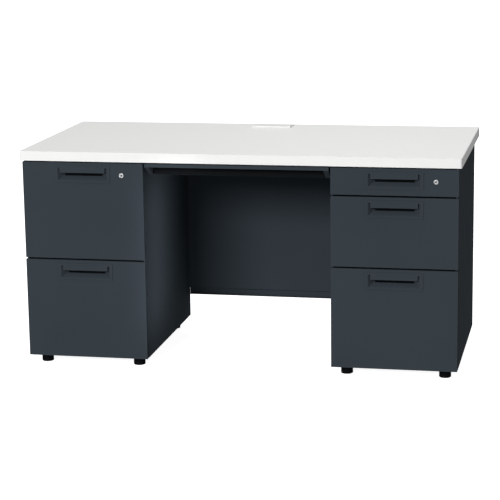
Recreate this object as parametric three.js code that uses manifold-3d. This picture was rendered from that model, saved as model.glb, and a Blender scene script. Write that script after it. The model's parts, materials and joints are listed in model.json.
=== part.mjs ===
// A steel double-pedestal teacher desk with a white worktop.
// Millimetres, +Z up, the desk's front faces -Y, +X is to the right of somebody who faces the front.
// The origin is on the floor, under the centre of the worktop.

import * as THREE from 'three';
import { mergeVertices } from 'three/addons/utils/BufferGeometryUtils.js';
import Module from 'manifold-3d';

const wasm = await Module();
wasm.setup();

// ---------------------------------------------------------------- driving dimensions

const GAP = 0.3; // between pieces that touch on the real desk
const OVER = 1; // how far a cutting shape reaches past the faces it cuts

const TOP = { width: 1400, depth: 700, thickness: 30, corner: 6, band: 2 };
const DESK_HEIGHT = 700;
const TOP_UNDERSIDE = DESK_HEIGHT - TOP.thickness;

const CASE = {
  width: 395, front: -331, back: 248, bottom: 32, overhang: 8, sheet: 1.2, plateSetback: 2,
  bottomFlange: 12, topRim: 30, topFlange: 16,
};
const CASE_LIP = { width: 6.2, depth: 10, rear: 15 }; // folded edges of the side panels
const CASE_TOP = TOP_UNDERSIDE - GAP;
const HALF_CASE = CASE.width / 2;
const PEDESTAL_X = TOP.width / 2 - CASE.overhang - HALF_CASE;
const KNEE_HALF = PEDESTAL_X - HALF_CASE; // half the knee space's width

const FOOT = {
  radius: 19, chamfer: 1.5, inset: 42.5, front: 58, back: 62, stud: 4, studTop: 43, studRoom: 0.5,
};

// The drawer fronts are shallow pans that cover the whole width of the case, a little in front of it.
const FRONT = { face: -347.5, depth: 11, sheet: 1.2, top: 666, low: 32, split: 5.5, half: HALF_CASE - 0.3 };
const FRONT_BACK = FRONT.face + FRONT.depth;

// Behind each pan the tray has a shallow box, narrow enough to pass between the side panels' lips.
const TRAY = { half: 183.5, sheet: 1.2, front: -325.2, lift: 4.25, lowestLift: 14, boxHalf: 189, boxInset: 3 };
const RAIL = { out: 6.5, half: 9, wall: 1.5, front: -311, rearStop: 10, height: 30 };
const RUNNER = { depth: 12, half: 13, wall: 1.5, web: 1.2, front: -309, back: 240 };

const HANDLE = {
  half: 90, // plate half width
  top: 10, // the rest are distances below the drawer's top edge
  cupTop: 17,
  barLow: 33,
  cupBackTop: 18.5,
  cupBackLow: 40.5,
  cupLow: 58,
  low: 64,
  plate: 1.4,
  cupDepth: 20,
  cupHalf: 81,
  cupBackHalf: 62,
  barHalf: 73.5,
  barThick: 6,
  wall: 1.6,
};

const LOCK = {
  x: 127.5, drop: 39, ring: 7.6, chamfer: 0.6, proud: 1.8, tube: 6.4, bore: 5.3, back: TRAY.front + 3,
  plug: 5, plugFace: 1.5, dish: 2.9, dishDepth: 2.5, keyHalf: 0.9, keyReach: 2.6, keyDepth: 6,
  crank: 9, crankHalf: 4, crankThick: 2.8, pin: 2,
};
const LOCK_HOLE = LOCK.tube + GAP;

// The bar rises evenly as the plug turns, and the pin runs ahead of it by at most pinLead times the lift.
const LOCK_BAR = {
  in: 186, out: 195.5, front: -318.5, back: -312.5, low: 46, finger: 10, reach: 112, lift: 9,
  pinLead: 0.2106, slack: 0.6, notch: 2,
};
const CATCH = { high: -14, low: -20, back: -301 }; // heights are from the middle of a drawer's rail

const CENTRE = {
  half: 292, back: -300, top: 666, lip: 11, low: 626, slope: 42, cap: 16, sheet: 1.5, strip: 2.2,
  floorLift: 1, trayHalf: 284, trayBack: 150, trayTop: 660, rail: 644, railSetback: 10,
  runnerDepth: 11, runnerSetback: 5, runnerBack: 200,
};

const MODESTY = { low: 110, hemTop: 134, front: 239.6, sheet: 1.2, flange: 20, lip: 10 };

const PORT = {
  halfWidth: 65, front: 250, back: 324, flange: 2, collarHalf: 60, collarFront: 255, collarBack: 321,
  wall: 2, low: 668, axisY: 309, axisZ: 700.4, pin: 1.2, pinLength: 8, knuckle: 2.5, bore: 1.6,
  lidFront: 251, lidBack: 312, lidHalf: 64, lid: 3, lidSide: 0.6, cornerCut: 4.5,
};

// One entry for each pedestal drawer: the splits between fronts are centred at these heights.
const LEFT_SPLITS = [353];
const RIGHT_SPLITS = [579, 353];
const PEDESTALS = [
  {
    side: 'left', x: -PEDESTAL_X, outer: -1, lockDrawer: 'left_upper_drawer', drawers: [
      { name: 'left_upper_drawer', top: FRONT.top, low: above(LEFT_SPLITS[0]), height: 235, depth: 525 },
      { name: 'left_lower_drawer', top: below(LEFT_SPLITS[0]), low: FRONT.low, height: 235, depth: 525 },
    ],
  },
  {
    side: 'right', x: PEDESTAL_X, outer: 1, lockDrawer: 'right_top_drawer', drawers: [
      { name: 'right_top_drawer', top: FRONT.top, low: above(RIGHT_SPLITS[0]), height: 42, depth: 465 },
      {
        name: 'right_middle_drawer', top: below(RIGHT_SPLITS[0]), low: above(RIGHT_SPLITS[1]),
        height: 165, depth: 525,
      },
      { name: 'right_bottom_drawer', top: below(RIGHT_SPLITS[1]), low: FRONT.low, height: 235, depth: 525 },
    ],
  },
];

function above(split) {
  return split + FRONT.split / 2;
}

function below(split) {
  return split - FRONT.split / 2;
}

// ---------------------------------------------------------------- finishes

const finish = (color, roughness, metalness) => ({ color, roughness, metalness });
const WHITE_LAMINATE = finish(0xe5e6e3, 0.45, 0);
const WHITE_EDGE = finish(0xf2f2f0, 0.4, 0);
const WHITE_PLASTIC = finish(0xe9e9e7, 0.4, 0);
const DARK_PAINT = finish(0x394046, 0.5, 0.1);
const ZINC_STEEL = finish(0x9a9d9f, 0.35, 0.9);
const CHROME = finish(0xd2d4d6, 0.15, 1);
const BLACK_PLASTIC = finish(0x141516, 0.6, 0);

// ---------------------------------------------------------------- geometry helpers

// A box between two values on each axis, given in any order.
function block([x0, x1], [y0, y1], [z0, z1]) {
  const box = new THREE.BoxGeometry(Math.abs(x1 - x0), Math.abs(y1 - y0), Math.abs(z1 - z0));
  return box.translate((x0 + x1) / 2, (y0 + y1) / 2, (z0 + z1) / 2);
}

function outline(points) {
  return new THREE.Shape(points.map(([a, b]) => new THREE.Vector2(a, b)));
}

function extrude(shape, length) {
  return new THREE.ExtrudeGeometry(shape, { depth: length, bevelEnabled: false, curveSegments: 6 });
}

// A profile in (Y, Z) carried along X.
function alongX(points, x0, x1) {
  const turn = new THREE.Matrix4().makeBasis(
    new THREE.Vector3(0, 1, 0), new THREE.Vector3(0, 0, 1), new THREE.Vector3(1, 0, 0),
  );
  return extrude(outline(points), x1 - x0).applyMatrix4(turn).translate(x0, 0, 0);
}

// A profile in (X, Z) carried along Y.
function alongY(points, y0, y1) {
  return extrude(outline(points), y1 - y0).rotateX(Math.PI / 2).translate(0, y1, 0);
}

// A shape in (X, Y) carried along Z.
function alongZ(shape, z0, z1) {
  return extrude(shape, z1 - z0).translate(0, 0, z0);
}

// A cylinder whose axis runs along Y or X.
function rodY(radius, x, z, y0, y1, sides = 24) {
  return new THREE.CylinderGeometry(radius, radius, y1 - y0, sides).translate(x, (y0 + y1) / 2, z);
}

function rodX(radius, y, z, x0, x1, sides = 16) {
  const rod = new THREE.CylinderGeometry(radius, radius, Math.abs(x1 - x0), sides).rotateZ(Math.PI / 2);
  return rod.translate((x0 + x1) / 2, y, z);
}

function roundedPlan(halfX, halfY, radius) {
  const shape = new THREE.Shape();
  const corners = [[1, 1, 0], [-1, 1, 1], [-1, -1, 2], [1, -1, 3]];
  for (const [sx, sy, quarter] of corners) {
    const start = quarter * Math.PI / 2;
    const centreX = sx * (halfX - radius);
    const centreY = sy * (halfY - radius);
    shape.absarc(centreX, centreY, radius, start, start + Math.PI / 2, false);
  }
  return shape;
}

// Coordinates are rounded to a micron, so that faces meant to lie in one plane do.
function solid(geometry) {
  const bare = geometry.clone();
  bare.deleteAttribute('normal');
  bare.deleteAttribute('uv');
  const merged = mergeVertices(bare, 1e-4);
  const vertProperties = merged.attributes.position.array.map((value) => Math.round(value * 1000) / 1000);
  const triVerts = new Uint32Array(merged.index.array);
  return new wasm.Manifold(new wasm.Mesh({ numProp: 3, vertProperties, triVerts }));
}

function surface(manifold) {
  const { vertProperties, triVerts } = manifold.getMesh();
  const geometry = new THREE.BufferGeometry();
  geometry.setAttribute('position', new THREE.BufferAttribute(new Float32Array(vertProperties), 3));
  geometry.setIndex(new THREE.BufferAttribute(new Uint32Array(triVerts), 1));
  geometry.computeVertexNormals();
  return geometry;
}

// Joins the pieces of the first list and cuts the pieces of the second list out of them.
// Pieces that are joined overlap a little (LAP), with no two of their faces in one plane.
function carve(joined, cuts = []) {
  let result = solid(joined[0]);
  for (const piece of joined.slice(1)) {
    result = result.add(solid(piece));
  }
  for (const piece of cuts) {
    result = result.subtract(solid(piece));
  }
  return surface(result);
}

const LAP = 0.4;

const desk = new THREE.Group();

function place(parent, name, geometry, look) {
  const mesh = new THREE.Mesh(geometry, new THREE.MeshStandardMaterial(look));
  mesh.name = name;
  parent.add(mesh);
  return mesh;
}

// ---------------------------------------------------------------- worktop and cable port

function portCutout() {
  const { collarHalf, collarFront, collarBack } = PORT;
  return block(
    [-collarHalf - GAP, collarHalf + GAP],
    [collarFront - GAP, collarBack + GAP],
    [TOP_UNDERSIDE - OVER, DESK_HEIGHT + OVER],
  );
}

function worktopBoard() {
  const inset = TOP.band + GAP;
  const plan = roundedPlan(TOP.width / 2 - inset, TOP.depth / 2 - inset, TOP.corner - inset);
  return carve([alongZ(plan, TOP_UNDERSIDE, DESK_HEIGHT)], [portCutout()]);
}

function edgeBand() {
  const plan = roundedPlan(TOP.width / 2, TOP.depth / 2, TOP.corner);
  const core = roundedPlan(TOP.width / 2 - TOP.band, TOP.depth / 2 - TOP.band, TOP.corner - TOP.band);
  return carve(
    [alongZ(plan, TOP_UNDERSIDE, DESK_HEIGHT)],
    [alongZ(core, TOP_UNDERSIDE - OVER, DESK_HEIGHT + OVER)],
  );
}

// A collar through the worktop under a flat flange, with two hinge pins inside its rear corners.
function portFrame() {
  const seat = DESK_HEIGHT + GAP;
  const innerHalf = PORT.collarHalf - PORT.wall;
  const innerFront = PORT.collarFront + PORT.wall;
  const innerBack = PORT.collarBack - PORT.wall;
  const flange = block(
    [-PORT.halfWidth, PORT.halfWidth],
    [PORT.front, PORT.back],
    [seat, seat + PORT.flange],
  );
  const collar = block(
    [-PORT.collarHalf, PORT.collarHalf],
    [PORT.collarFront, PORT.collarBack],
    [PORT.low, seat + LAP],
  );
  const hole = block(
    [-innerHalf, innerHalf],
    [innerFront, innerBack],
    [PORT.low - OVER, seat + PORT.flange + OVER],
  );
  const body = solid(carve([flange, collar], [hole]));
  const pins = [-1, 1].map((side) => solid(rodX(
    PORT.pin, PORT.axisY, PORT.axisZ, side * (innerHalf + PORT.wall / 2), side * (innerHalf - PORT.pinLength),
  )));
  return surface(body.add(pins[0]).add(pins[1]));
}

function portLid() {
  const low = DESK_HEIGHT + GAP + PORT.flange + GAP;
  const plate = block([-PORT.lidHalf, PORT.lidHalf], [PORT.lidFront, PORT.lidBack], [low, low + PORT.lid]);
  const outer = PORT.collarHalf - PORT.wall - PORT.lidSide;
  const cornerFront = PORT.axisY - PORT.cornerCut;
  const knuckles = [];
  const cuts = []; // the knuckles' bores, and the rear corners, which would turn down into the flange
  for (const side of [-1, 1]) {
    const ends = [side * outer, side * (outer - PORT.pinLength)];
    knuckles.push(rodX(PORT.knuckle, PORT.axisY, PORT.axisZ, ...ends));
    knuckles.push(block(
      [side * (outer - LAP), side * (outer - PORT.pinLength + LAP)],
      [PORT.axisY - PORT.knuckle + LAP, PORT.axisY + PORT.knuckle - LAP],
      [PORT.axisZ, low + LAP],
    ));
    cuts.push(rodX(
      PORT.bore, PORT.axisY, PORT.axisZ, side * (outer + OVER), side * (outer - PORT.pinLength - OVER),
    ));
    cuts.push(block(
      [side * outer, side * (PORT.lidHalf + OVER)],
      [cornerFront, PORT.lidBack + OVER],
      [low - OVER, low + PORT.lid + OVER],
    ));
  }
  return carve([plate, ...knuckles], cuts);
}

place(desk, 'worktop', worktopBoard(), WHITE_LAMINATE);
place(desk, 'worktop_edge_band', edgeBand(), WHITE_EDGE);
place(desk, 'cable_port_frame', portFrame(), WHITE_PLASTIC);
place(desk, 'cable_port_lid', portLid(), WHITE_PLASTIC);

// ---------------------------------------------------------------- pedestal cases

// One folded side panel, seen in plan: skin, front lip, hem behind the lip and rear flange. side is -1 or 1.
function caseSide(side) {
  const { sheet, front, back } = CASE;
  const skinIn = HALF_CASE - sheet;
  const lipIn = HALF_CASE - CASE_LIP.width;
  const flangeIn = HALF_CASE - CASE_LIP.rear;
  const plan = [
    [lipIn, front], [HALF_CASE, front], [HALF_CASE, back], [flangeIn, back], [flangeIn, back - sheet],
    [skinIn, back - sheet], [skinIn, front + sheet], [lipIn + sheet, front + sheet],
    [lipIn + sheet, front + CASE_LIP.depth], [lipIn, front + CASE_LIP.depth],
  ];
  return alongZ(outline(plan.map(([x, y]) => [side * x, y])), CASE.bottom, CASE_TOP);
}

const INSIDE_X = HALF_CASE - CASE.sheet - GAP; // clear half width between the side skins
const LIP_X = HALF_CASE - CASE_LIP.width - GAP; // clear half width between the front lips
const LIP_Y = CASE.front + CASE_LIP.depth + GAP; // behind the front lips
const BACK_Y = CASE.back - CASE.sheet - GAP; // inner side of the rear flanges
const PLATE_BACK = BACK_Y - CASE.sheet - GAP; // in front of the back panel

// The plan of a plate that fits between the side panels and is narrower between the front lips.
function casePlan() {
  const front = CASE.front + CASE.plateSetback;
  return outline([
    [-LIP_X, front], [LIP_X, front], [LIP_X, LIP_Y], [INSIDE_X, LIP_Y], [INSIDE_X, PLATE_BACK],
    [-INSIDE_X, PLATE_BACK], [-INSIDE_X, LIP_Y], [-LIP_X, LIP_Y],
  ]);
}

function caseBack() {
  return block([-INSIDE_X, INSIDE_X], [BACK_Y - CASE.sheet, BACK_Y], [CASE.bottom, CASE_TOP]);
}

const FOOT_PLACES = [];
for (const side of [-1, 1]) {
  const x = side * (HALF_CASE - FOOT.inset);
  FOOT_PLACES.push({ side, end: 'front', x, y: FRONT.face + FOOT.front });
  FOOT_PLACES.push({ side, end: 'back', x, y: CASE.back - FOOT.back });
}

function caseBottom() {
  const { bottom, sheet } = CASE;
  const flangeTop = bottom + CASE.bottomFlange;
  const plan = casePlan();
  for (const { x, y } of FOOT_PLACES) {
    plan.holes.push(new THREE.Path().absarc(x, y, FOOT.stud + FOOT.studRoom, 0, 2 * Math.PI, true));
  }
  const flanges = [-1, 1].map((side) => block(
    [side * (INSIDE_X - LAP), side * (INSIDE_X - LAP - sheet)],
    [LIP_Y + LAP, PLATE_BACK - LAP],
    [bottom + LAP, flangeTop],
  ));
  return carve([alongZ(plan, bottom, bottom + sheet), ...flanges]);
}

// A flat rim under the worktop with a flange turned down behind the drawer fronts.
function caseTopFrame() {
  const rim = CASE.topRim;
  const half = INSIDE_X - rim;
  const [front, back] = [LIP_Y + rim, BACK_Y - rim];
  const plan = casePlan();
  plan.holes.push(new THREE.Path(
    [[-half, front], [-half, back], [half, back], [half, front]].map(([x, y]) => new THREE.Vector2(x, y)),
  ));
  const flange = block(
    [-half + LAP, half - LAP],
    [front - LAP - CASE.sheet, front - LAP],
    [CASE_TOP - CASE.topFlange, CASE_TOP - LAP],
  );
  return carve([alongZ(plan, CASE_TOP - CASE.sheet, CASE_TOP), flange]);
}

function foot() {
  const { radius, chamfer, stud, studTop } = FOOT;
  const top = CASE.bottom - GAP;
  const points = [
    [0, 0], [radius - chamfer, 0], [radius, chamfer], [radius, top],
    [stud, top], [stud, studTop], [0, studTop],
  ];
  const profile = points.map(([r, z]) => new THREE.Vector2(r, z));
  return new THREE.LatheGeometry(profile, 32).rotateX(Math.PI / 2);
}

// ---------------------------------------------------------------- drawers

function pullHandle(top) {
  const face = FRONT.face - GAP - HANDLE.plate; // the plate's front
  const point = (depth, drop) => [face + depth, top - drop];
  const taper = (HANDLE.cupHalf - HANDLE.cupBackHalf) / HANDLE.cupDepth;

  // A profile carried across the handle whose ends draw in with depth.
  const tapered = (profile, halfAtFace) => {
    const piece = alongX(profile.map(([depth, drop]) => point(depth, drop)), -1, 1);
    const { position } = piece.attributes;
    for (let i = 0; i < position.count; i += 1) {
      const half = halfAtFace - taper * (position.getY(i) - face);
      position.setX(i, position.getX(i) * half);
    }
    return piece;
  };

  const { wall, cupDepth, plate } = HANDLE;
  const shell = tapered([
    [plate / 2, HANDLE.cupTop - wall * 2],
    [plate / 2, HANDLE.cupLow + wall * 1.5],
    [plate, HANDLE.cupLow + wall * 1.5],
    [cupDepth + wall, HANDLE.cupBackLow + wall],
    [cupDepth + wall, HANDLE.cupBackTop - wall],
  ], HANDLE.cupHalf + wall);
  const hollow = tapered([
    [-OVER, HANDLE.cupTop],
    [-OVER, HANDLE.cupLow],
    [0, HANDLE.cupLow],
    [cupDepth, HANDLE.cupBackLow],
    [cupDepth, HANDLE.cupBackTop],
  ], HANDLE.cupHalf);
  const sheet = block(
    [-HANDLE.half, HANDLE.half],
    [face, face + plate],
    [top - HANDLE.low, top - HANDLE.top],
  );
  const bar = block(
    [-HANDLE.barHalf, HANDLE.barHalf],
    [face - LAP, face + HANDLE.barThick],
    [top - HANDLE.barLow, top - HANDLE.cupTop + LAP],
  );
  return carve([carve([sheet, shell], [hollow]), bar]);
}

// The folded front: a face with four returns, and windows for the handle's cup and for a lock if it has one.
function drawerFront({ top, low }, locked) {
  const { face, sheet, half } = FRONT;
  const shell = block([-half, half], [face, FRONT_BACK], [low, top]);
  const hollow = block(
    [-half + sheet, half - sheet],
    [face + sheet, FRONT_BACK + OVER],
    [low + sheet, top - sheet],
  );
  const cupHalf = HANDLE.cupHalf + HANDLE.wall + GAP;
  const window = block(
    [-cupHalf, cupHalf],
    [face - OVER, face + sheet + OVER],
    [top - HANDLE.cupLow - HANDLE.wall * 1.5 - GAP, top - HANDLE.cupTop + HANDLE.wall * 2 + GAP],
  );
  const cuts = [hollow, window];
  if (locked) {
    cuts.push(rodY(LOCK_HOLE, LOCK.x, top - LOCK.drop, face - OVER, face + sheet + OVER));
  }
  return carve([shell], cuts);
}

function trayLow(drawer) {
  const isLowest = drawer.low === FRONT.low; // its tray clears the feet's studs
  return drawer.low + (isLowest ? TRAY.lowestLift : TRAY.lift);
}

function railHeight(drawer) {
  return trayLow(drawer) + Math.min(RAIL.height, drawer.height / 2);
}

// A channel rail along one side of a tray, open outwards.
function trayRail(side, inner, z, front, back) {
  const x = (a, b) => [side * a, side * b];
  const out = inner + RAIL.out;
  return {
    body: block(x(inner - TRAY.sheet / 2, out), [front, back], [z - RAIL.half, z + RAIL.half]),
    groove: block(
      x(inner + RAIL.wall, out + OVER),
      [front - OVER, back + OVER],
      [z - RAIL.half + RAIL.wall, z + RAIL.half - RAIL.wall],
    ),
  };
}

// The welded tray: four walls and a bottom, open at the top, with two rails, the shallow box that closes the
// front pan from behind, and on the right the catch that the lock bar holds.
function drawerTray(drawer, locked) {
  const { half, sheet, front, boxHalf, boxInset } = TRAY;
  const low = trayLow(drawer);
  const high = low + drawer.height;
  const back = front + drawer.depth;
  const rail = railHeight(drawer);
  const [boxLow, boxHigh] = [drawer.low + boxInset, drawer.top - boxInset];
  const body = block([-half, half], [front + LAP, back], [low, high]);
  const box = block([-boxHalf, boxHalf], [FRONT_BACK + GAP, front + sheet], [boxLow, boxHigh]);
  const latch = block(
    [half - sheet / 2, half + RAIL.out],
    [RAIL.front, CATCH.back],
    [rail + CATCH.low, rail + CATCH.high],
  );
  const boxHollow = block(
    [-boxHalf + sheet, boxHalf - sheet],
    [FRONT_BACK, front],
    [boxLow + sheet, boxHigh - sheet],
  );
  const hollow = block(
    [-half + sheet, half - sheet],
    [front + sheet, back - sheet],
    [low + sheet, high + OVER],
  );
  const rails = [-1, 1].map((side) => trayRail(side, half, rail, RAIL.front, back - RAIL.rearStop));
  const cuts = [hollow, boxHollow, ...rails.map((piece) => piece.groove)];
  if (locked) {
    cuts.push(rodY(LOCK_HOLE, LOCK.x, drawer.top - LOCK.drop, front - OVER, front + sheet + OVER));
  }
  return carve([body, box, latch, ...rails.map((piece) => piece.body)], cuts);
}

// The fixed channel that a rail runs in, open towards the tray. outside is its web's outer face.
function fixedRunner(side, outside, depth, z, front, back) {
  const x = (a, b) => [side * a, side * b];
  const { half, wall, web } = RUNNER;
  return carve(
    [block(x(outside - depth, outside), [front, back], [z - half, z + half])],
    [block(
      x(outside - depth - OVER, outside - web),
      [front - OVER, back + OVER],
      [z - half + wall, z + half - wall],
    )],
  );
}

// ---------------------------------------------------------------- lock

// The housing: a ring against the drawer's face on a tube that runs back through the front.
function lockHousing(z) {
  const { ring, chamfer, proud, tube, bore, back } = LOCK;
  const seat = FRONT.face - GAP;
  const points = [
    [bore, seat - proud], [ring - chamfer, seat - proud], [ring, seat - proud + chamfer], [ring, seat],
    [tube, seat], [tube, back], [bore, back], [bore, seat - proud],
  ];
  const profile = points.map(([r, y]) => new THREE.Vector2(r, y));
  return new THREE.LatheGeometry(profile, 32).translate(LOCK.x, 0, z);
}

// The plug turns in the housing, with its face dished round the keyway; the crank and pin behind it lift the
// lock bar.
function lockPlug(z) {
  const { x, crankHalf, keyHalf, keyReach } = LOCK;
  const face = FRONT.face - GAP - LOCK.plugFace;
  const rear = LOCK.back + 2 * GAP;
  const crankBack = rear + LOCK.crankThick;
  const pinX = x - LOCK.crank;
  const plug = rodY(LOCK.plug, x, z, face, rear + LAP);
  const crank = block(
    [pinX - crankHalf, x + crankHalf + LAP],
    [rear, crankBack],
    [z - crankHalf, z + crankHalf],
  );
  const pin = rodY(LOCK.pin, pinX, z, rear + LAP, LOCK_BAR.back - GAP, 16);
  const dish = rodY(LOCK.dish, x, z, face - OVER, face + LOCK.dishDepth, 20);
  const keyway = block(
    [x - keyHalf, x + keyHalf],
    [face, face + LOCK.keyDepth],
    [z - keyReach, z + keyReach],
  );
  return carve([plug, crank, pin], [dish, keyway]);
}

// An upright bar with a finger over the plug's pin. Each drawer's rail and catch pass through a notch in it;
// once the bar has risen, the rail still has room but the foot of the notch stands in front of the catch.
function lockBar(pedestal, lockZ) {
  const { front, back, low, reach, lift, slack, notch } = LOCK_BAR;
  const fingerLow = lockZ + LOCK.pin + lift * LOCK_BAR.pinLead + slack;
  const fingerTop = fingerLow + LOCK_BAR.finger;
  const bar = alongY([
    [LOCK_BAR.out, low], [LOCK_BAR.out, fingerTop], [reach, fingerTop],
    [reach, fingerLow], [LOCK_BAR.in, fingerLow], [LOCK_BAR.in, low],
  ], front, back);
  const notches = pedestal.drawers.map((drawer) => {
    const z = railHeight(drawer);
    return block(
      [LOCK_BAR.in - OVER, TRAY.half + RAIL.out + slack],
      [front - OVER, back + OVER],
      [z + CATCH.low - notch, z + RAIL.half + notch],
    );
  });
  return carve([bar], notches);
}

// ---------------------------------------------------------------- pedestals

function buildPedestal(pedestal) {
  const { side, outer, x } = pedestal;
  const group = new THREE.Group();
  group.position.set(x, 0, 0);
  desk.add(group);

  place(group, `${side}_outer_side`, caseSide(outer), DARK_PAINT);
  place(group, `${side}_inner_side`, caseSide(-outer), DARK_PAINT);
  place(group, `${side}_back`, caseBack(), DARK_PAINT);
  place(group, `${side}_bottom`, caseBottom(), DARK_PAINT);
  place(group, `${side}_top_frame`, caseTopFrame(), DARK_PAINT);

  for (const { side: footSide, end, x: footX, y } of FOOT_PLACES) {
    const position = footSide === outer ? 'outer' : 'inner';
    const mesh = place(group, `${side}_foot_${end}_${position}`, foot(), BLACK_PLASTIC);
    mesh.position.set(footX, y, 0);
  }

  for (const drawer of pedestal.drawers) {
    const locked = drawer.name === pedestal.lockDrawer;
    place(group, `${drawer.name}_front`, drawerFront(drawer, locked), DARK_PAINT);
    place(group, `${drawer.name}_handle`, pullHandle(drawer.top), DARK_PAINT);
    place(group, `${drawer.name}_tray`, drawerTray(drawer, locked), DARK_PAINT);
    for (const [hand, sign] of [['left', -1], ['right', 1]]) {
      const runner = fixedRunner(
        sign, INSIDE_X, RUNNER.depth, railHeight(drawer), RUNNER.front, RUNNER.back,
      );
      place(group, `${drawer.name}_runner_${hand}`, runner, ZINC_STEEL);
    }
  }

  const lockZ = FRONT.top - LOCK.drop;
  place(group, `${side}_lock_housing`, lockHousing(lockZ), CHROME);
  place(group, `${side}_lock_plug`, lockPlug(lockZ), CHROME);
  place(group, `${side}_lock_bar`, lockBar(pedestal, lockZ), ZINC_STEEL);
}

PEDESTALS.forEach(buildPedestal);

// ---------------------------------------------------------------- centre drawer

// The front: its ends keep the whole sloping profile, and the finger recess is cut between them.
function centreFront() {
  const { half, back, top, lip, low, slope, cap, sheet } = CENTRE;
  const front = FRONT.face;
  const profile = [[front, top - lip], [front + slope, low], [back, low], [back, top], [front, top]];
  const recess = [
    [front - OVER, low - OVER], [back - sheet, low - OVER], [back - sheet, top - sheet],
    [front + sheet, top - sheet], [front + sheet, top - lip], [front - OVER, top - lip],
  ];
  return carve([alongX(profile, -half, half)], [alongX(recess, -half + cap, half - cap)]);
}

// A channel lining the space behind the lip, open downwards.
function pullStrip() {
  const { half, back, top, lip, cap, sheet, strip: wall } = CENTRE;
  const foot = CENTRE.low + CENTRE.floorLift;
  const end = half - cap - GAP;
  const high = top - sheet - GAP;
  const rear = back - sheet - GAP;
  const nose = FRONT.face + sheet + GAP;
  return alongX([
    [nose, top - lip], [nose + wall, top - lip], [nose + wall, high - wall], [rear - wall, high - wall],
    [rear - wall, foot], [rear, foot], [rear, high], [nose, high],
  ], -end, end);
}

function centreTray() {
  const { trayHalf, back, trayBack, trayTop, low, rail } = CENTRE;
  const front = back + GAP;
  const floor = low + CENTRE.floorLift;
  const [railFront, railBack] = [front + CENTRE.railSetback, trayBack - RAIL.rearStop];
  const rails = [-1, 1].map((side) => trayRail(side, trayHalf, rail, railFront, railBack));
  const hollow = block(
    [-trayHalf + TRAY.sheet, trayHalf - TRAY.sheet],
    [front + TRAY.sheet, trayBack - TRAY.sheet],
    [floor + TRAY.sheet, trayTop + OVER],
  );
  return carve(
    [block([-trayHalf, trayHalf], [front, trayBack], [floor, trayTop]), ...rails.map((piece) => piece.body)],
    [hollow, ...rails.map((piece) => piece.groove)],
  );
}

place(desk, 'centre_drawer_front', centreFront(), DARK_PAINT);
place(desk, 'centre_drawer_pull_strip', pullStrip(), BLACK_PLASTIC);
place(desk, 'centre_drawer_tray', centreTray(), DARK_PAINT);
for (const [hand, sign] of [['left', -1], ['right', 1]]) {
  const runner = fixedRunner(
    sign, KNEE_HALF - GAP, CENTRE.runnerDepth, CENTRE.rail,
    CENTRE.back + CENTRE.runnerSetback, CENTRE.runnerBack,
  );
  place(desk, `centre_drawer_runner_${hand}`, runner, ZINC_STEEL);
}

// ---------------------------------------------------------------- modesty panel

// A sheet set forward of the pedestals' backs, with side flanges and a hem stepped back along its lower edge.
function modestyPanel() {
  const { low, hemTop, front, sheet, flange, lip } = MODESTY;
  const half = KNEE_HALF - GAP;
  const { back } = CASE;
  const profile = [
    [front - flange, CASE_TOP - sheet], [front, CASE_TOP - sheet], [front, hemTop], [back - sheet, hemTop],
    [back - sheet, low + sheet], [back - lip, low + sheet], [back - lip, low], [back, low],
    [back, hemTop + sheet], [front + sheet, hemTop + sheet], [front + sheet, CASE_TOP],
    [front - flange, CASE_TOP],
  ];
  const flanges = [-1, 1].map((side) => block(
    [side * (half - LAP), side * (half - LAP - sheet)],
    [front - flange + LAP, front + LAP],
    [hemTop + LAP, CASE_TOP - LAP],
  ));
  return carve([alongX(profile, -half, half), ...flanges]);
}

place(desk, 'modesty_panel', modestyPanel(), DARK_PAINT);

export default desk;
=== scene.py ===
import json
import math

import bmesh
import bpy
from mathutils import Matrix, Vector


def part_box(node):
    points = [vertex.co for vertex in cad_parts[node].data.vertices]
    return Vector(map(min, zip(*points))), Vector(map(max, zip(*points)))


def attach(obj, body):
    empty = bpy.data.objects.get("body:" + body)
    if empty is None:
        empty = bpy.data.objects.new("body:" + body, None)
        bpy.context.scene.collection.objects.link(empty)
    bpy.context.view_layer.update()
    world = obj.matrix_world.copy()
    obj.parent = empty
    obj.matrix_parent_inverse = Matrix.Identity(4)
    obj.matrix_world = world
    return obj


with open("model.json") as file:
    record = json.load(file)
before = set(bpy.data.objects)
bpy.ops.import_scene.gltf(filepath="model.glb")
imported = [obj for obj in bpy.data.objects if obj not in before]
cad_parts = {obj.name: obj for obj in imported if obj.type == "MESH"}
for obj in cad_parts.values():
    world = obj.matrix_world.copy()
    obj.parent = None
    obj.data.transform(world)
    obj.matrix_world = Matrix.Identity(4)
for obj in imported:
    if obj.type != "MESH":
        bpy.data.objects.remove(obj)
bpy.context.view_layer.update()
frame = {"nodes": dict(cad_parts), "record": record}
nodes = frame["nodes"]
MM = 0.001

# ---------------------------------------------------------------- camera

CAMERA_PLACE = (1.139, -5.646, 1.542)
CAMERA_YAW = 0.204
CAMERA_PITCH = 0.208
CAMERA_ROLL = 0.014
CAMERA_LENS = 127.45
SENSOR = 36.0
VIEW_REACH = 60     # metres, past the far edge of the floor


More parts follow.
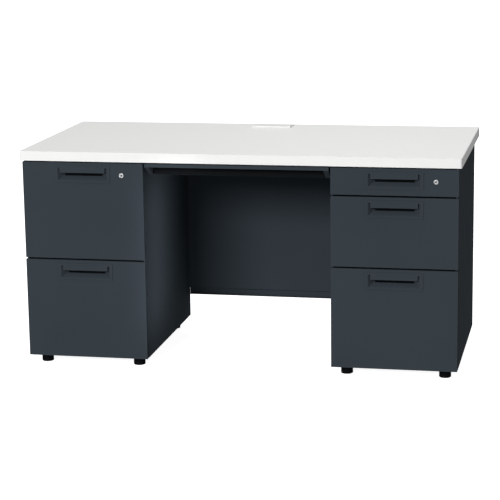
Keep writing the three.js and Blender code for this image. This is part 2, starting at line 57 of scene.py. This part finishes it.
def add_camera():
    forward = Vector((
        -math.sin(CAMERA_YAW) * math.cos(CAMERA_PITCH),
        math.cos(CAMERA_YAW) * math.cos(CAMERA_PITCH),
        -math.sin(CAMERA_PITCH),
    ))
    level_right = Vector((math.cos(CAMERA_YAW), math.sin(CAMERA_YAW), 0))
    level_down = forward.cross(level_right)
    right = level_right * math.cos(CAMERA_ROLL) + level_down * math.sin(CAMERA_ROLL)
    down = level_down * math.cos(CAMERA_ROLL) - level_right * math.sin(CAMERA_ROLL)
    data = bpy.data.cameras.new("camera")
    data.lens = CAMERA_LENS
    data.sensor_width = SENSOR
    data.clip_end = VIEW_REACH
    camera = bpy.data.objects.new("camera", data)
    turn = Matrix((right, -down, -forward)).transposed().to_4x4()
    camera.matrix_world = Matrix.Translation(CAMERA_PLACE) @ turn
    bpy.context.scene.collection.objects.link(camera)
    bpy.context.scene.camera = camera


add_camera()

# ---------------------------------------------------------------- node helpers

NOISE_SPAN = (0.3, 0.7)     # where nearly all of a noise's values lie
MIX_COLORS_IN = (6, 7)      # the colour sockets of a Mix node, which shares its names with other kinds
MIX_COLOR_OUT = 2
MIX_NUMBERS_IN = (2, 3)     # its number sockets


class Nodes:
    """A material's node tree, with short calls for the nodes that the materials below share."""

    def __init__(self, name):
        self.material = bpy.data.materials.new(name)
        self.material.use_nodes = True
        self.tree = self.material.node_tree
        self.shader = self.tree.nodes["Principled BSDF"]
        self.place = self.tree.nodes.new("ShaderNodeTexCoord").outputs["Object"]

    def link(self, source, target):
        self.tree.links.new(source, target)

    def constant(self, **values):
        for name, value in values.items():
            self.shader.inputs[name.replace("_", " ")].default_value = value

    def noise(self, scale, detail=2.0, roughness=0.5, place=None):
        """A cloudy value from 0 to 1, its scale in cells for each metre."""
        node = self.tree.nodes.new("ShaderNodeTexNoise")
        node.inputs["Scale"].default_value = scale
        node.inputs["Detail"].default_value = detail
        node.inputs["Roughness"].default_value = roughness
        self.link(place or self.place, node.inputs["Vector"])
        return node.outputs["Fac"]

    def cells(self, scale):
        """Grains that each have a colour of their own, scale of them for each metre."""
        node = self.tree.nodes.new("ShaderNodeTexVoronoi")
        node.inputs["Scale"].default_value = scale
        self.link(self.place, node.inputs["Vector"])
        return node.outputs["Color"]

    def stretched(self, x, y, z):
        node = self.tree.nodes.new("ShaderNodeMapping")
        node.inputs["Scale"].default_value = (x, y, z)
        self.link(self.place, node.inputs["Vector"])
        return node.outputs["Vector"]

    def ramp(self, value, low, high):
        """The usual span of a noise becomes a colour from low to high."""
        node = self.tree.nodes.new("ShaderNodeValToRGB")
        first, last = node.color_ramp.elements
        first.position, last.position = NOISE_SPAN
        first.color = low
        last.color = high
        self.link(value, node.inputs["Fac"])
        return node.outputs["Color"]

    def spread(self, value, low, high):
        """The usual span of a noise becomes a number from low to high."""
        node = self.tree.nodes.new("ShaderNodeMapRange")
        node.inputs["From Min"].default_value, node.inputs["From Max"].default_value = NOISE_SPAN
        node.inputs["To Min"].default_value = low
        node.inputs["To Max"].default_value = high
        self.link(value, node.inputs["Value"])
        return node.outputs["Result"]

    def mix(self, factor, one, other, blend="MIX"):
        node = self.tree.nodes.new("ShaderNodeMix")
        node.data_type = "RGBA"
        node.blend_type = blend
        given = ((0, factor), (MIX_COLORS_IN[0], one), (MIX_COLORS_IN[1], other))
        for index, value in given:
            socket = node.inputs[index]
            if isinstance(value, bpy.types.NodeSocket):
                self.link(value, socket)
            else:
                socket.default_value = value
        return node.outputs[MIX_COLOR_OUT]

    def bump(self, height, distance, normal=None):
        """Relief of the given depth in metres, laid over an earlier relief when normal is given."""
        node = self.tree.nodes.new("ShaderNodeBump")
        node.inputs["Strength"].default_value = 1.0
        node.inputs["Distance"].default_value = distance
        self.link(height, node.inputs["Height"])
        if normal is not None:
            self.link(normal, node.inputs["Normal"])
        return node.outputs["Normal"]

    def finish(self, color, roughness, normal):
        self.link(color, self.shader.inputs["Base Color"])
        self.link(roughness, self.shader.inputs["Roughness"])
        self.link(normal, self.shader.inputs["Normal"])
        return self.material


def grey(value):
    return (value, value, value, 1)


def tint(color, factor):
    return (color[0] * factor, color[1] * factor, color[2] * factor, 1)


# ---------------------------------------------------------------- materials

PAINT = (0.0350, 0.0442, 0.0530)
LAMINATE = (0.85, 0.86, 0.84)
EDGE_WHITE = (0.86, 0.86, 0.85)
PLASTIC_WHITE = (0.82, 0.82, 0.80)
BLACK = (0.0042, 0.0050, 0.0062)
ZINC = (0.55, 0.56, 0.58)
CHROME = (0.78, 0.79, 0.80)


def painted_steel():
    """Powder coat: an even dark blue-grey with an orange-peel skin and faint handling marks."""
    m = Nodes("dark_paint")
    broad = m.noise(scale=2.5, detail=3)
    fine = m.noise(scale=900, detail=2)
    shade = m.ramp(broad, tint(PAINT, 0.93), tint(PAINT, 1.07))
    color = m.mix(m.spread(fine, 0, 0.5), shade, tint(PAINT, 1.2))
    rough = m.spread(m.noise(scale=14, detail=4), 0.58, 0.70)
    peel = m.bump(m.noise(scale=380, detail=2, roughness=0.55), distance=0.00006)
    grain = m.bump(fine, distance=0.00002, normal=peel)
    m.constant(Specular_IOR_Level=0.01)
    return m.finish(color, rough, grain)


def laminate():
    """Melamine laminate: off-white with a fine pearl mottle and a shallow embossed texture."""
    m = Nodes("white_laminate")
    mottle = m.noise(scale=220, detail=4, roughness=0.6)
    clouds = m.spread(m.noise(scale=3, detail=3), 0, 1)
    pearl = m.ramp(mottle, tint(LAMINATE, 0.99), tint(LAMINATE, 1.005))
    color = m.mix(clouds, pearl, tint(LAMINATE, 0.996))
    rough = m.spread(m.noise(scale=26, detail=5), 0.40, 0.46)
    normal = m.bump(m.noise(scale=1300, detail=3, roughness=0.6), distance=0.00001)
    m.constant(Specular_IOR_Level=0.25)
    return m.finish(color, rough, normal)


def moulded(name, color, low, high, grain_scale, depth, specular=0.5, vary=0.012):
    """Moulded or extruded plastic with a fine eroded grain; vary is how much its shade wanders."""
    m = Nodes(name)
    m.constant(Specular_IOR_Level=specular)
    shade = m.ramp(m.noise(scale=40, detail=4), tint(color, 1 - vary), tint(color, 1 + vary))
    rough = m.spread(m.noise(scale=60, detail=3), low, high)
    normal = m.bump(m.noise(scale=grain_scale, detail=3, roughness=0.65), distance=depth)
    return m.finish(shade, rough, normal)


def zinc_plate():
    """Bright zinc plate on rolled strip: spangle and faint lengthways rolling lines."""
    m = Nodes("zinc_steel")
    spangle = m.cells(scale=240)
    base = m.ramp(m.noise(scale=9, detail=4), tint(ZINC, 0.85), tint(ZINC, 1.1))
    color = m.mix(0.06, base, spangle, "OVERLAY")
    lines = m.noise(scale=300, detail=2, place=m.stretched(1, 0.02, 1))
    rough = m.spread(lines, 0.26, 0.42)
    m.constant(Metallic=1.0)
    return m.finish(color, rough, m.bump(lines, distance=0.00001))


def chrome_plate():
    """Satin nickel-chrome plate, faintly clouded."""
    m = Nodes("chrome")
    color = m.ramp(m.noise(scale=80, detail=3), tint(CHROME, 0.95), tint(CHROME, 1.03))
    rough = m.spread(m.noise(scale=200, detail=4), 0.38, 0.5)
    m.constant(Metallic=1.0)
    return m.finish(color, rough, m.bump(m.noise(scale=2500, detail=2), distance=0.000004))


MATERIALS = {
    "dark_paint": painted_steel(),
    "white_laminate": laminate(),
    "white_edge": moulded("white_edge", EDGE_WHITE, 0.30, 0.38, 1500, 0.00002),
    "white_plastic": moulded("white_plastic", PLASTIC_WHITE, 0.34, 0.44, 1800, 0.00003),
    "black_plastic": moulded("black_plastic", BLACK, 0.5, 0.62, 1600, 0.00005, 0.04, vary=0.12),
    "zinc_steel": zinc_plate(),
    "chrome": chrome_plate(),
}

# ---------------------------------------------------------------- CAD nodes

slot_of = {row["node"]: row["material_slot"] for row in frame["record"]["subparts"]}


EDGE_SOFTNESS = 0.4 * MM
EDGE_SEGMENTS = 3
EDGE_ANGLE = math.radians(40)   # corners sharper than this are softened
WELD_GAP = 0.01 * MM


def dress(node):
    """Gives a CAD node its material and softens its edges."""
    piece = nodes[node]
    piece.data.materials.clear()
    piece.data.materials.append(MATERIALS[slot_of[node]])
    weld = piece.modifiers.new("weld", "WELD")
    weld.merge_threshold = WELD_GAP
    edge = piece.modifiers.new("edge", "BEVEL")
    edge.width = EDGE_SOFTNESS
    edge.segments = EDGE_SEGMENTS
    edge.limit_method = "ANGLE"
    edge.angle_limit = EDGE_ANGLE
    edge.harden_normals = False
    level = piece.modifiers.new("level", "WEIGHTED_NORMAL")
    level.keep_sharp = True
    rough_normals = piece.data.attributes.get("custom_normal")
    if rough_normals:
        piece.data.attributes.remove(rough_normals)


for name in nodes:
    dress(name)

# ---------------------------------------------------------------- pieces added to the CAD nodes

SAME_POINT = 1e-7   # points nearer than this, in metres, are joined


def add_piece(name, node, verts, faces, slot, smooth=False):
    """A new piece, its faces turned outwards, that rides with the CAD node's body."""
    mesh = bpy.data.meshes.new(name)
    mesh.from_pydata(verts, [], faces)
    clean = bmesh.new()
    clean.from_mesh(mesh)
    bmesh.ops.remove_doubles(clean, verts=clean.verts, dist=SAME_POINT)
    bmesh.ops.recalc_face_normals(clean, faces=clean.faces)
    clean.to_mesh(mesh)
    clean.free()
    mesh.materials.append(MATERIALS[slot])
    if smooth:
        mesh.shade_smooth()
    else:
        mesh.shade_flat()
    piece = bpy.data.objects.new(name, mesh)
    bpy.context.scene.collection.objects.link(piece)
    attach(piece, body_of[node])


def lathe(profile, centre, segments):
    """Vertices and faces of a closed section turned about the line through centre along Y.
    profile holds (radius, distance along +Y) pairs in millimetres, in order round the section;
    add_piece joins the points that fall together on the axis."""
    verts = []
    faces = []
    count = len(profile)
    for step in range(segments):
        angle = 2 * math.pi * step / segments
        for radius, along in profile:
            verts.append((
                centre[0] + radius * MM * math.cos(angle),
                centre[1] + along * MM,
                centre[2] + radius * MM * math.sin(angle),
            ))
        following = (step + 1) % segments
        for index in range(count):
            after = (index + 1) % count
            faces.append((
                step * count + index, step * count + after,
                following * count + after, following * count + index,
            ))
    return verts, faces


def carried_along_x(profile, x0, x1):
    """Vertices and faces of a closed (Y, Z) profile carried along X, in metres."""
    count = len(profile)
    verts = [(x, y, z) for x in (x0, x1) for y, z in profile]
    faces = [tuple(range(count)), tuple(range(2 * count - 1, count - 1, -1))]
    for index in range(count):
        after = (index + 1) % count
        faces.append((index, index + count, after + count, after))
    return verts, faces


body_of = {node: body for body, members in frame["record"]["behaviour"]["bodies"].items() for node in members}

# The cup of a handle: its back wall and where its sloping floor ends, as (distance behind the handle's front,
# distance below the handle's top edge) in millimetres.
CUP_TOP = 9.0
CUP_CORNER = Vector((20.4, 30.5))
CUP_MOUTH = Vector((0.4, 48.0))
# The black sheet below is painted shade: it darkens the cup behind and under the bar, where the bar's shadow
# falls.
CUP_SHADE_HALF = 60.5
CUP_SHADE_ON_FLOOR = 5.5
CUP_SHADE_GAP = 0.1
CUP_SHADE_THICK = 0.8


def cup_shade_profile():
    """The section of a bent strip that covers the cup's back wall and the first part of its sloping floor;
    the strip is painted shade, dark where the bar shades the cup.
    """
    along = (CUP_MOUTH - CUP_CORNER).normalized()
    off_floor = Vector((-along[1], along[0]))
    faces = []
    for off in (CUP_SHADE_GAP, CUP_SHADE_GAP + CUP_SHADE_THICK):
        wall = CUP_CORNER[0] - off
        run = (CUP_CORNER[0] + off_floor[0] * off - wall) / -along[0]
        corner = CUP_CORNER + off_floor * off + along * run
        end = CUP_CORNER + off_floor * off + along * CUP_SHADE_ON_FLOOR
        faces.append([Vector((wall, CUP_TOP)), corner, end])
    outer, inner = faces
    return inner + outer[::-1]


def add_cup_shade_sheets():
    """A black sheet in each handle's cup, behind and under the bar: painted shade where the bar shades the
    cup, not a real lining.
    """
    for node in nodes:
        if not node.endswith("_handle"):
            continue
        low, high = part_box(node)
        middle = (low[0] + high[0]) / 2
        profile = [(low[1] + behind * MM, high[2] - below * MM) for behind, below in cup_shade_profile()]
        verts, faces = carried_along_x(profile, middle - CUP_SHADE_HALF * MM, middle + CUP_SHADE_HALF * MM)
        add_piece(node + "_painted_shade_sheet", node, verts, faces, "black_plastic")


# All in millimetres. Each section is (radius, distance behind the face) for the dark funnel in each lock's
# plug, which is painted shade for the shadow in the plug's dish, and (radius, distance proud of the flange)
# for the screw head.
LOCK_CENTRE = (127.5, 627.0)   # from the pedestal's middle and from the floor
PLUG_FACE = -349.3
PLUG_SHADE_SIDES = 48
PLUG_SHADE = [(0.95, 1.9), (1.7, 1.7), (2.5, 0.7), (2.75, 0.1), (2.75, 2.3), (0.95, 2.3)]


def add_lock_plug_shade():
    """A black shallow funnel round the keyway in the dish of each lock's plug: painted shade where the dish
    lies in shadow, not a dust shutter.
    """
    for side in ("left", "right"):
        low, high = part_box(side + "_outer_side")
        inner_low, inner_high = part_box(side + "_inner_side")
        middle = (min(low[0], inner_low[0]) + max(high[0], inner_high[0])) / 2
        centre = (middle + LOCK_CENTRE[0] * MM, PLUG_FACE * MM, LOCK_CENTRE[1] * MM)
        verts, faces = lathe(PLUG_SHADE, centre, PLUG_SHADE_SIDES)
        add_piece(side + "_lock_painted_shade", side + "_lock_plug", verts, faces, "black_plastic", smooth=True)


SCREW_HEAD = [(0, 0.8), (1.25, 0.8), (1.35, 2.0), (2.5, 1.75), (3.4, 1.1), (3.8, 0.3), (3.8, -0.1), (0, -0.1)]
SCREW_SIDES = 24
SCREW_INSET = 7.5
SCREW_HEIGHTS = (80, 350, 620)


def add_back_screws():
    """Socket button heads through the rear flange of every side panel."""
    for side in ("left", "right"):
        for skin, inwards in (("outer", 1), ("inner", -1)):
            node = f"{side}_{skin}_side"
            low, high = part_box(node)
            to_middle = inwards if side == "left" else -inwards
            edge = low[0] if to_middle > 0 else high[0]
            for number, height in enumerate(SCREW_HEIGHTS, 1):
                centre = (edge + to_middle * SCREW_INSET * MM, high[1], height * MM)
                verts, faces = lathe(SCREW_HEAD, centre, SCREW_SIDES)
                add_piece(f"{side}_{skin}_back_screw_{number}", node, verts, faces, "zinc_steel", smooth=True)


add_cup_shade_sheets()
add_lock_plug_shade()
add_back_screws()

# ---------------------------------------------------------------- floor and light

FLOOR_GLOW = 0.92
FLOOR_REACH = 30    # metres from the desk to the floor's edges


def add_floor():
    """A plain pale floor, brightened evenly so that it meets the white surroundings without a horizon.
    It is left out of bounced and mirrored light, so its glow doesn't light the desk from below."""
    mesh = bpy.data.meshes.new("floor")
    corners = [(x * FLOOR_REACH, y * FLOOR_REACH, 0) for x, y in ((-1, -1), (1, -1), (1, 1), (-1, 1))]
    mesh.from_pydata(corners, [], [(0, 1, 2, 3)])
    floor = bpy.data.objects.new("floor", mesh)
    floor.visible_glossy = False
    floor.visible_diffuse = False
    bpy.context.scene.collection.objects.link(floor)
    m = Nodes("floor")
    shade = m.ramp(m.noise(scale=0.8, detail=3), grey(0.80), grey(0.83))
    m.constant(Specular_IOR_Level=0.1, Emission_Color=grey(1), Emission_Strength=FLOOR_GLOW)
    rough = m.spread(m.noise(scale=4), 0.7, 0.8)
    normal = m.bump(m.noise(scale=60, detail=3), distance=0.0001)
    mesh.materials.append(m.finish(shade, rough, normal))


def add_softbox(name, place, aim, width, height, power, spread):
    """A rectangular light that shines from place towards aim; power in watts, spread in degrees."""
    data = bpy.data.lights.new(name, "AREA")
    data.shape = "RECTANGLE"
    data.size = width
    data.size_y = height
    data.energy = power
    data.spread = math.radians(spread)
    light = bpy.data.objects.new(name, data)
    light.visible_camera = False
    light.location = place
    light.rotation_euler = (Vector(aim) - Vector(place)).to_track_quat("-Z", "Y").to_euler()
    bpy.context.scene.collection.objects.link(light)


def add_world(ambient, mirrored, backdrop):
    """Even studio surroundings: how strongly they light surfaces, show in gloss, and show behind the desk."""
    world = bpy.data.worlds.new("studio")
    world.use_nodes = True
    tree = world.node_tree
    shade = tree.nodes["Background"]
    shade.inputs["Color"].default_value = grey(1)
    path = tree.nodes.new("ShaderNodeLightPath")
    otherwise, chosen = MIX_NUMBERS_IN
    in_gloss = tree.nodes.new("ShaderNodeMix")
    in_gloss.inputs[otherwise].default_value = ambient
    in_gloss.inputs[chosen].default_value = mirrored
    tree.links.new(path.outputs["Is Glossy Ray"], in_gloss.inputs[0])
    behind = tree.nodes.new("ShaderNodeMix")
    behind.inputs[chosen].default_value = backdrop
    tree.links.new(in_gloss.outputs[0], behind.inputs[otherwise])
    tree.links.new(path.outputs["Is Camera Ray"], behind.inputs[0])
    tree.links.new(behind.outputs[0], shade.inputs["Strength"])
    bpy.context.scene.world = world


add_floor()
add_world(ambient=0.38, mirrored=0.2, backdrop=1.0)
SOFT = 180      # a softbox with no grid in front of it
NARROW = 20     # a strip light behind a grid

add_softbox("top_box", place=(0.0, -0.2, 3.0), aim=(0, 0, 0.7), width=3.0, height=1.8,
            power=19, spread=SOFT)
add_softbox("key_box", place=(-2.2, -8.0, 3.3), aim=(0, -0.3, 0.4), width=3.2, height=2.0,
            power=520, spread=SOFT)
add_softbox("knee_strip", place=(0.25, -0.95, 0.36), aim=(-0.3, -0.18, 0.36), width=0.06, height=0.5,
            power=0.32, spread=NARROW)
add_softbox("rear_box", place=(0.4, 5.5, 5.0), aim=(0, 0.3, 0.4), width=3.0, height=1.8,
            power=120, spread=SOFT)

scene = bpy.context.scene
scene.view_settings.view_transform = "Standard"

bpy.context.view_layer.update()
